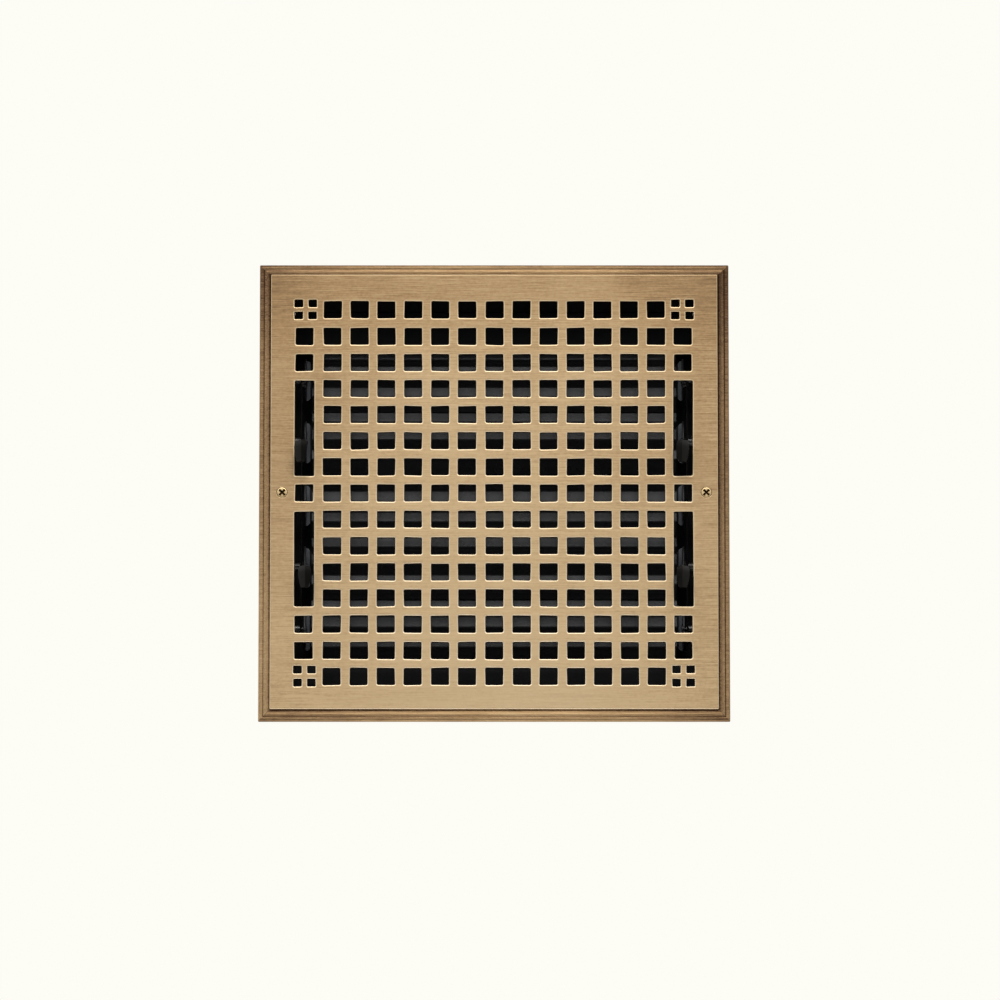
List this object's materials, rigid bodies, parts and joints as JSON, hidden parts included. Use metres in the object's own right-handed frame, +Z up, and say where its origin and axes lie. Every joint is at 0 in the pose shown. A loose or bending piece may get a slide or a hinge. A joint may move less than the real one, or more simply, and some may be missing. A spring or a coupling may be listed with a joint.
{
  "type": "louvred air grille",
  "caption": "Square brass wall register with a pierced lattice face and a ganged steel damper worked by levers through side slots.",
  "frame": {"origin": "centre of the register on the wall plane, the back of the flange", "axes": "+Z up the wall, +Y into the duct, +X to the right of someone facing the grille, whose face looks along -Y"},
  "size_m": [0.3492, 0.0801, 0.3492],
  "materials": {
    "antique_brass": "brushed antique brass with darker grooves",
    "screw_brass": "aged brass",
    "black_steel": "semi-gloss black",
    "black_blade": "semi-gloss black",
    "black_lever": "semi-gloss black",
    "pin_steel": "dull steel"
  },
  "bodies": {
    "register": {"face_grille": "antique_brass", "mounting_screw_left": "screw_brass", "damper_side_left": "black_steel", "fixing_screw_left_top": "pin_steel", "fixing_screw_left_bottom": "pin_steel", "mounting_screw_right": "screw_brass", "damper_side_right": "black_steel", "fixing_screw_right_top": "pin_steel", "fixing_screw_right_bottom": "pin_steel", "damper_rail_top": "black_steel", "closure_strip_top": "black_steel", "damper_rail_bottom": "black_steel", "closure_strip_bottom": "black_steel"},
    "louvre_1": {"blade_1": "black_blade", "ear_left_1": "black_steel", "pivot_left_1": "pin_steel", "crank_rivet_left_1": "pin_steel", "ear_right_1": "black_steel", "pivot_right_1": "pin_steel", "crank_rivet_right_1": "pin_steel"},
    "louvre_2": {"blade_2": "black_blade", "ear_left_2": "black_steel", "pivot_left_2": "pin_steel", "crank_rivet_left_2": "pin_steel", "lever_left_upper": "black_lever", "knob_left_upper": "black_lever", "ear_right_2": "black_steel", "pivot_right_2": "pin_steel", "crank_rivet_right_2": "pin_steel", "lever_right_upper": "black_lever", "knob_right_upper": "black_lever"},
    "louvre_3": {"blade_3": "black_blade", "ear_left_3": "black_steel", "pivot_left_3": "pin_steel", "crank_rivet_left_3": "pin_steel", "ear_right_3": "black_steel", "pivot_right_3": "pin_steel", "crank_rivet_right_3": "pin_steel"},
    "louvre_4": {"blade_4": "black_blade", "ear_left_4": "black_steel", "pivot_left_4": "pin_steel", "crank_rivet_left_4": "pin_steel", "lever_left_lower": "black_lever", "knob_left_lower": "black_lever", "ear_right_4": "black_steel", "pivot_right_4": "pin_steel", "crank_rivet_right_4": "pin_steel", "lever_right_lower": "black_lever", "knob_right_lower": "black_lever"},
    "louvre_5": {"blade_5": "black_blade", "ear_left_5": "black_steel", "pivot_left_5": "pin_steel", "crank_rivet_left_5": "pin_steel", "ear_right_5": "black_steel", "pivot_right_5": "pin_steel", "crank_rivet_right_5": "pin_steel"},
    "link_left": {"link_bar_left": "black_lever"},
    "link_right": {"link_bar_right": "black_lever"}
  },
  "joints": [
    {"name": "louvre_2_turn", "type": "hinge", "parent": "register", "child": "louvre_2", "pos_m": [0, 0.035, 0.048], "axis": [-1, 0, 0], "range_deg": [0, 48]},
    {"name": "louvre_1_turn", "type": "hinge", "parent": "register", "child": "louvre_1", "pos_m": [0, 0.035, 0.096], "axis": [-1, 0, 0], "range_deg": [0, 48]},
    {"name": "louvre_3_turn", "type": "hinge", "parent": "register", "child": "louvre_3", "pos_m": [0, 0.035, 0], "axis": [-1, 0, 0], "range_deg": [0, 48]},
    {"name": "louvre_4_turn", "type": "hinge", "parent": "register", "child": "louvre_4", "pos_m": [0, 0.035, -0.048], "axis": [-1, 0, 0], "range_deg": [0, 48]},
    {"name": "louvre_5_turn", "type": "hinge", "parent": "register", "child": "louvre_5", "pos_m": [0, 0.035, -0.096], "axis": [-1, 0, 0], "range_deg": [0, 48]},
    {"name": "link_left_turn", "type": "hinge", "parent": "louvre_2", "child": "link_left", "pos_m": [0, 0.02288, 0.041], "axis": [-1, 0, 0], "range_deg": [-48, 0]},
    {"name": "link_right_turn", "type": "hinge", "parent": "louvre_2", "child": "link_right", "pos_m": [0, 0.02288, 0.041], "axis": [-1, 0, 0], "range_deg": [-48, 0]}
  ],
  "couplings": [
    {"joint": "louvre_1_turn", "follows": "louvre_2_turn", "ratio": 1},
    {"joint": "louvre_3_turn", "follows": "louvre_2_turn", "ratio": 1},
    {"joint": "louvre_4_turn", "follows": "louvre_2_turn", "ratio": 1},
    {"joint": "louvre_5_turn", "follows": "louvre_2_turn", "ratio": 1},
    {"joint": "link_left_turn", "follows": "louvre_2_turn", "ratio": -1},
    {"joint": "link_right_turn", "follows": "louvre_2_turn", "ratio": -1}
  ]
}
